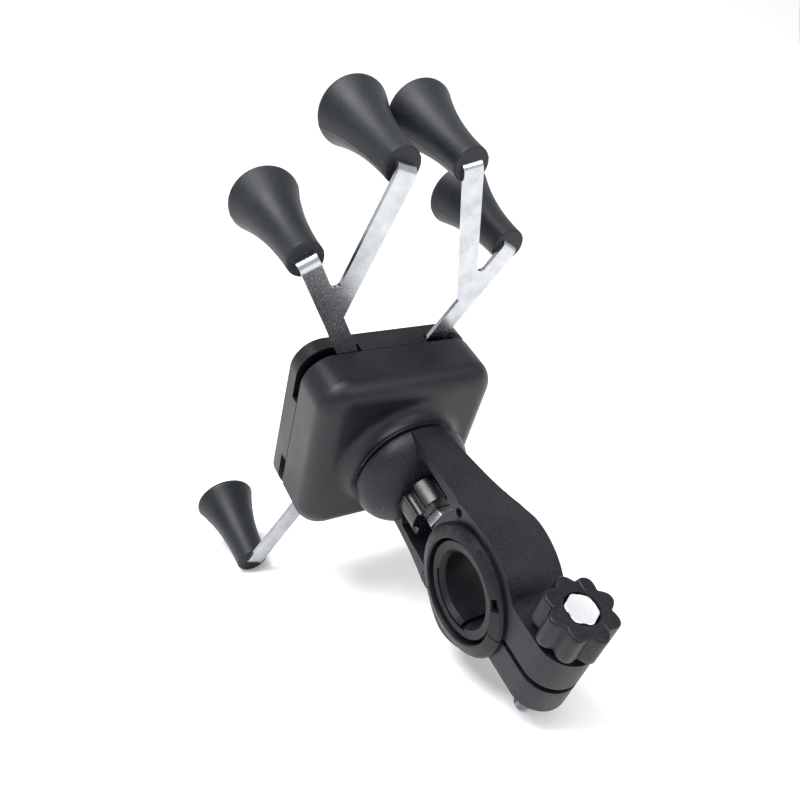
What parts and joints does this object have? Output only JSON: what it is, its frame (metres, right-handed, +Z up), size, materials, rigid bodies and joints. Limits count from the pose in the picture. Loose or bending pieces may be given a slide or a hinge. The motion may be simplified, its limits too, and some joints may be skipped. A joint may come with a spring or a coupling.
{
  "type": "phone handlebar mount",
  "caption": "Phone holder with sprung steel arms and rubber tips, a lockable swivel head and a hinged handlebar clamp tightened by a knob.",
  "frame": {"origin": "middle of the box round the whole mount, on the table it stands on", "axes": "+X along the handlebar, +Y towards the phone side, +Z up; the holder leans back 27.9 degrees"},
  "size_m": [0.096, 0.1915, 0.1792],
  "materials": {
    "shell_plastic": "satin, very fine grain",
    "tip_rubber": "matt, smooth moulded",
    "arm_steel": "bright brushed bar",
    "pin_steel": "turned, plain",
    "insert_brass": "turned, plain"
  },
  "bodies": {
    "clamp": {"clamp_body": "shell_plastic", "cross_pin": "pin_steel", "hinge_pin": "pin_steel", "upper_liner": "tip_rubber", "bar_sleeve": "tip_rubber", "swivel_washer": "tip_rubber"},
    "holder": {"rear_shell": "shell_plastic", "front_shell": "shell_plastic", "phone_pad": "tip_rubber", "shell_screws": "pin_steel", "pivot_pin": "pin_steel", "arm_washer": "pin_steel", "arm_spring": "pin_steel", "swivel_insert": "insert_brass"},
    "arm_left": {"arm_a": "arm_steel", "tip_upper_left_outer": "tip_rubber", "tip_upper_left_inner": "tip_rubber", "tip_lower_right": "tip_rubber"},
    "arm_right": {"arm_b": "arm_steel", "tip_upper_right_outer": "tip_rubber", "tip_upper_right_inner": "tip_rubber", "tip_lower_left": "tip_rubber"},
    "wheel": {"lock_wheel": "shell_plastic", "wheel_spindle": "pin_steel"},
    "jaw": {"lower_jaw": "shell_plastic", "lower_liner": "tip_rubber"},
    "knob": {"star_knob": "shell_plastic", "clamp_bolt": "pin_steel", "bolt_washer": "pin_steel"},
    "nut": {"clamp_nut": "pin_steel"}
  },
  "joints": [
    {"name": "holder_swivel", "type": "hinge", "parent": "clamp", "child": "holder", "pos_m": [0, 0.0006, 0.05581], "axis": [0, -0.8838, -0.4679], "continuous": true},
    {"name": "arm_left_open", "type": "hinge", "parent": "holder", "child": "arm_left", "pos_m": [0, 0.02446, 0.06844], "axis": [0, -0.8838, -0.4679], "range_deg": [0, 30], "stiffness_Nm_per_rad": 0.8, "springref_deg": -22.92},
    {"name": "arm_right_open", "type": "hinge", "parent": "holder", "child": "arm_right", "pos_m": [0, 0.02597, 0.06924], "axis": [0, 0.8838, 0.4679], "range_deg": [0, 30]},
    {"name": "lock_wheel_turn", "type": "hinge", "parent": "clamp", "child": "wheel", "pos_m": [0, -0.01442, 0.04785], "axis": [0, -0.8838, -0.4679], "continuous": true},
    {"name": "lower_jaw_hinge", "type": "hinge", "parent": "clamp", "child": "jaw", "pos_m": [0, -0.02306, 0.02628], "axis": [1, 0, 0], "range_deg": [0, 6]},
    {"name": "clamp_knob_turn", "type": "hinge", "parent": "clamp", "child": "knob", "pos_m": [0, -0.08359, 0.04065], "axis": [0, -0.4679, 0.8838], "continuous": true},
    {"name": "clamp_nut_slide", "type": "slide", "parent": "clamp", "child": "nut", "axis": [0, 0.4679, -0.8838], "range_m": [0, 0.0049]}
  ],
  "couplings": [
    {"joint": "arm_right_open", "follows": "arm_left_open", "ratio": 1},
    {"joint": "clamp_nut_slide", "follows": "lower_jaw_hinge", "m_per_rad": 0.04677}
  ]
}
